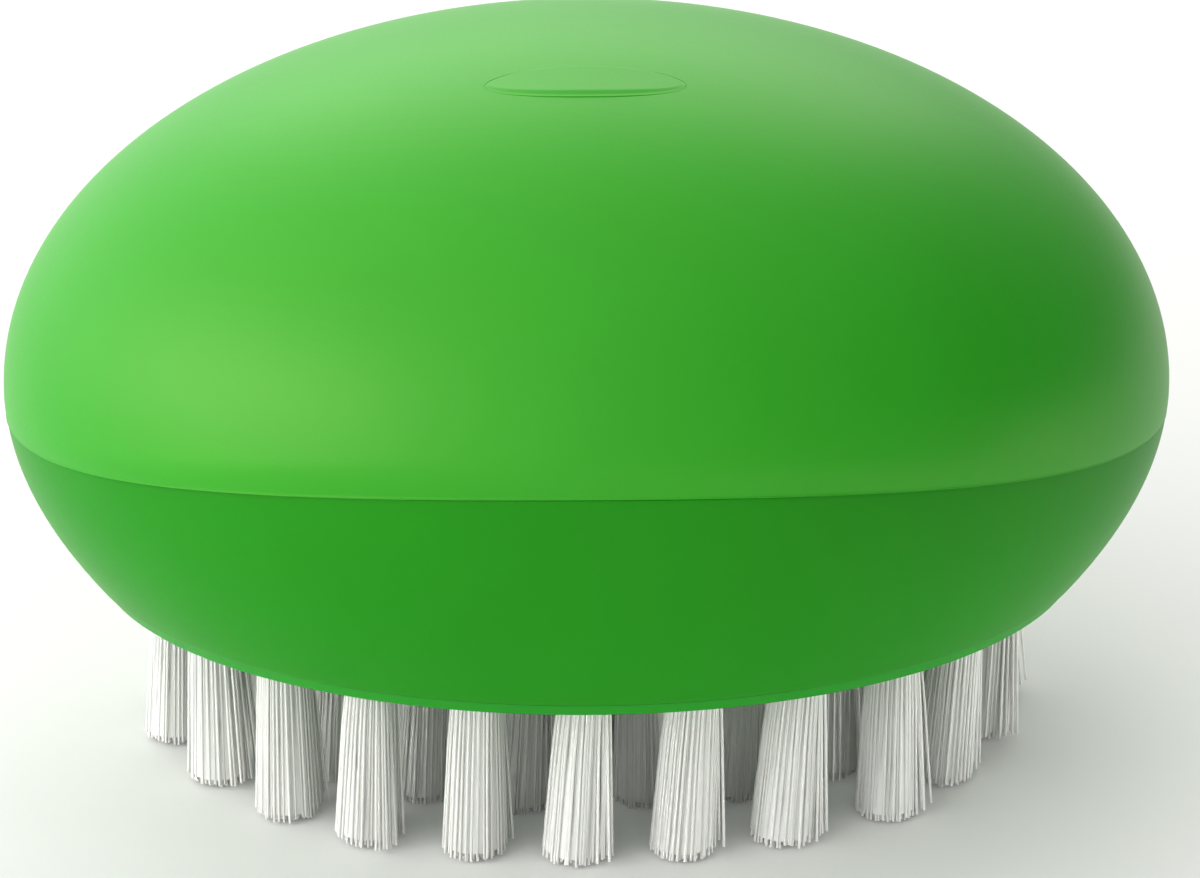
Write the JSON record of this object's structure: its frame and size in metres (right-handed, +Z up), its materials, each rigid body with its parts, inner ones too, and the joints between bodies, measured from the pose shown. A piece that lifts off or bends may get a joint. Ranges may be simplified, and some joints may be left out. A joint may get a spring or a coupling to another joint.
{
  "type": "vegetable brush",
  "caption": "Palm-sized oval vegetable brush: soft domed grip over a rigid core, and an oval bristle block with rings of flared bristle tufts.",
  "frame": {"origin": "on the plane of the bristle tips, under the middle of the brush", "axes": "+X along the brush, +Y across it towards the back, +Z up through the crown of the grip"},
  "size_m": [0.084, 0.0634, 0.0536],
  "materials": {
    "soft_grip": "soft-touch matte, fine moulded grain, leaf green",
    "core_plastic": "natural moulded polypropylene",
    "block_plastic": "moulded polypropylene, leaf green",
    "bristle_nylon": "translucent white filament",
    "anchor_wire": "flat drawn wire"
  },
  "bodies": {
    "root": {"grip_dome": "soft_grip", "grip_skirt": "soft_grip", "core_shell": "core_plastic", "bristle_block": "block_plastic", "tuft_anchors": "anchor_wire", "tuft_outer_01": "bristle_nylon", "tuft_outer_02": "bristle_nylon", "tuft_outer_03": "bristle_nylon", "tuft_outer_04": "bristle_nylon", "tuft_outer_05": "bristle_nylon", "tuft_outer_06": "bristle_nylon", "tuft_outer_07": "bristle_nylon", "tuft_outer_08": "bristle_nylon", "tuft_outer_09": "bristle_nylon", "tuft_outer_10": "bristle_nylon", "tuft_outer_11": "bristle_nylon", "tuft_outer_12": "bristle_nylon", "tuft_outer_13": "bristle_nylon", "tuft_outer_14": "bristle_nylon", "tuft_outer_15": "bristle_nylon", "tuft_outer_16": "bristle_nylon", "tuft_outer_17": "bristle_nylon", "tuft_outer_18": "bristle_nylon", "tuft_outer_19": "bristle_nylon", "tuft_outer_20": "bristle_nylon", "tuft_outer_21": "bristle_nylon", "tuft_outer_22": "bristle_nylon", "tuft_second_01": "bristle_nylon", "tuft_second_02": "bristle_nylon", "tuft_second_03": "bristle_nylon", "tuft_second_04": "bristle_nylon", "tuft_second_05": "bristle_nylon", "tuft_second_06": "bristle_nylon", "tuft_second_07": "bristle_nylon", "tuft_second_08": "bristle_nylon", "tuft_second_09": "bristle_nylon", "tuft_second_10": "bristle_nylon", "tuft_second_11": "bristle_nylon", "tuft_second_12": "bristle_nylon", "tuft_second_13": "bristle_nylon", "tuft_second_14": "bristle_nylon", "tuft_second_15": "bristle_nylon", "tuft_second_16": "bristle_nylon", "tuft_inner_01": "bristle_nylon", "tuft_inner_02": "bristle_nylon", "tuft_inner_03": "bristle_nylon", "tuft_inner_04": "bristle_nylon", "tuft_inner_05": "bristle_nylon", "tuft_inner_06": "bristle_nylon", "tuft_inner_07": "bristle_nylon", "tuft_inner_08": "bristle_nylon", "tuft_inner_09": "bristle_nylon", "tuft_inner_10": "bristle_nylon", "tuft_centre_01": "bristle_nylon", "tuft_centre_02": "bristle_nylon", "tuft_centre_03": "bristle_nylon"}
  },
  "joints": []
}
